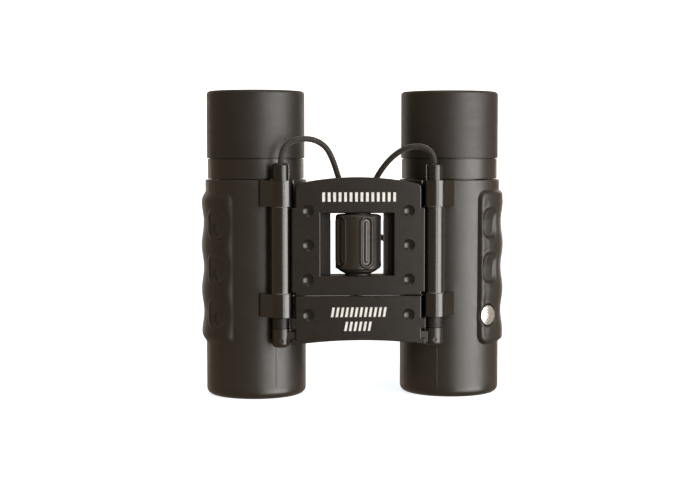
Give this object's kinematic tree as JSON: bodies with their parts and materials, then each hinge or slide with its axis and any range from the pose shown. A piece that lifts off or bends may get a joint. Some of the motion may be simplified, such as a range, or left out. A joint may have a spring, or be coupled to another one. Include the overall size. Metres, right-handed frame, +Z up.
{
  "type": "folding binoculars",
  "caption": "Compact double-hinge folding binoculars: slim rubber-armoured barrels, central focusing wheel, braided neck cord.",
  "frame": {"origin": "middle of the footprint of the binoculars without their neck cord, on the plane that the objective rims stand on", "axes": "+Z up along the barrels towards the eyepieces, +X from the left barrel to the right one, +Y from the bridge towards the barrels"},
  "size_m": [0.0927, 0.0687, 0.0914],
  "materials": {
    "barrel_body": "dark satin moulding",
    "armour": "fine matt skin",
    "objective_rim": "dark satin",
    "grip_pad": "soft matt rubber",
    "eyepiece_ring": "dark satin",
    "eyecup": "soft matt rubber",
    "cell": "black anodised",
    "lens": "coated optical glass",
    "prism": "polished optical glass",
    "prism_holder": "matt black",
    "focus_arm": "matt black",
    "bridge_plate": "satin graphite-brown paint",
    "bridge_frame": "matt black moulding",
    "back_cover": "matt black moulding",
    "hinge_tube": "dark polished anodising",
    "hinge_cap": "glossy dark plastic",
    "push_rod": "ground steel",
    "washer": "grey nylon",
    "screw": "blackened steel",
    "focus_yoke": "satin dark paint",
    "focus_screw": "turned brass",
    "wheel_core": "matt black moulding",
    "wheel_grip": "ribbed soft rubber",
    "badge": "silvered, plain",
    "strap": "braided cord",
    "strap_tie": "soft woven band"
  },
  "bodies": {
    "bridge": {"bridge_frame": "bridge_frame", "upper_cover": "bridge_plate", "back_cover": "back_cover", "cover_screws": "screw", "hinge_tube_left": "hinge_tube", "hinge_tube_right": "hinge_tube", "hinge_cap_left": "hinge_cap", "hinge_cap_right": "hinge_cap", "hinge_washers": "washer", "strap_strand_left": "strap", "strap_strand_right": "strap", "strap_coil": "strap", "strap_tie": "strap_tie"},
    "left_barrel": {"barrel_body_left": "barrel_body", "armour_left": "armour", "objective_rim_left": "objective_rim", "grip_pad_left": "grip_pad", "prism_holder_left": "prism_holder", "roof_prism_left": "prism", "half_penta_prism_left": "prism", "eyepiece_ring_left": "eyepiece_ring", "eyecup_left": "eyecup", "eyepiece_cell_left": "cell", "field_lens_left": "lens", "eye_lens_left": "lens"},
    "right_barrel": {"barrel_body_right": "barrel_body", "armour_right": "armour", "objective_rim_right": "objective_rim", "grip_pad_right": "grip_pad", "prism_holder_right": "prism_holder", "roof_prism_right": "prism", "half_penta_prism_right": "prism", "badge_disc": "badge"},
    "left_objective": {"objective_cell_left": "cell", "objective_lens_left": "lens", "objective_retainer_left": "cell", "focus_arm_left": "focus_arm"},
    "right_objective": {"objective_cell_right": "cell", "objective_lens_right": "lens", "objective_retainer_right": "cell", "focus_arm_right": "focus_arm"},
    "diopter": {"diopter_ring": "eyepiece_ring", "eyecup_right": "eyecup"},
    "right_eyepiece": {"eyepiece_cell_right": "cell", "field_lens_right": "lens", "eye_lens_right": "lens"},
    "focus_wheel": {"focus_wheel_core": "wheel_core", "focus_wheel_grip": "wheel_grip"},
    "focus_carriage": {"focus_screw": "focus_screw", "focus_yoke": "focus_yoke", "lower_cover": "bridge_plate", "grub_screws": "screw", "push_rod_left": "push_rod", "push_rod_right": "push_rod"}
  },
  "joints": [
    {"name": "left_hinge", "type": "hinge", "parent": "bridge", "child": "left_barrel", "pos_m": [-0.02255, -0.01288, 0.05], "axis": [0, 0, 1], "range_deg": [-39, 21]},
    {"name": "right_hinge", "type": "hinge", "parent": "bridge", "child": "right_barrel", "pos_m": [0.02255, -0.01288, 0.05], "axis": [0, 0, -1], "range_deg": [-39, 21]},
    {"name": "focus_turn", "type": "hinge", "parent": "bridge", "child": "focus_wheel", "pos_m": [0, -0.01288, 0.049], "axis": [0, 0, 1], "range_deg": [0, 360]},
    {"name": "focus_slide", "type": "slide", "parent": "bridge", "child": "focus_carriage", "axis": [0, 0, -1], "range_m": [0, 0.003]},
    {"name": "left_objective_slide", "type": "slide", "parent": "left_barrel", "child": "left_objective", "axis": [0, 0, -1], "range_m": [0, 0.003]},
    {"name": "right_objective_slide", "type": "slide", "parent": "right_barrel", "child": "right_objective", "axis": [0, 0, -1], "range_m": [0, 0.003]},
    {"name": "diopter_turn", "type": "hinge", "parent": "right_barrel", "child": "diopter", "pos_m": [0.02951, 0.00453, 0.068], "axis": [0, 0, 1], "range_deg": [-60, 60]},
    {"name": "right_eyepiece_slide", "type": "slide", "parent": "right_barrel", "child": "right_eyepiece", "axis": [0, 0, 1], "range_m": [-0.001, 0.001]}
  ],
  "couplings": [
    {"joint": "focus_turn", "follows": "focus_slide", "rad_per_m": 2094.4},
    {"joint": "left_objective_slide", "follows": "focus_slide", "ratio": 1},
    {"joint": "right_objective_slide", "follows": "focus_slide", "ratio": 1},
    {"joint": "right_eyepiece_slide", "follows": "diopter_turn", "m_per_rad": 0.00095}
  ]
}
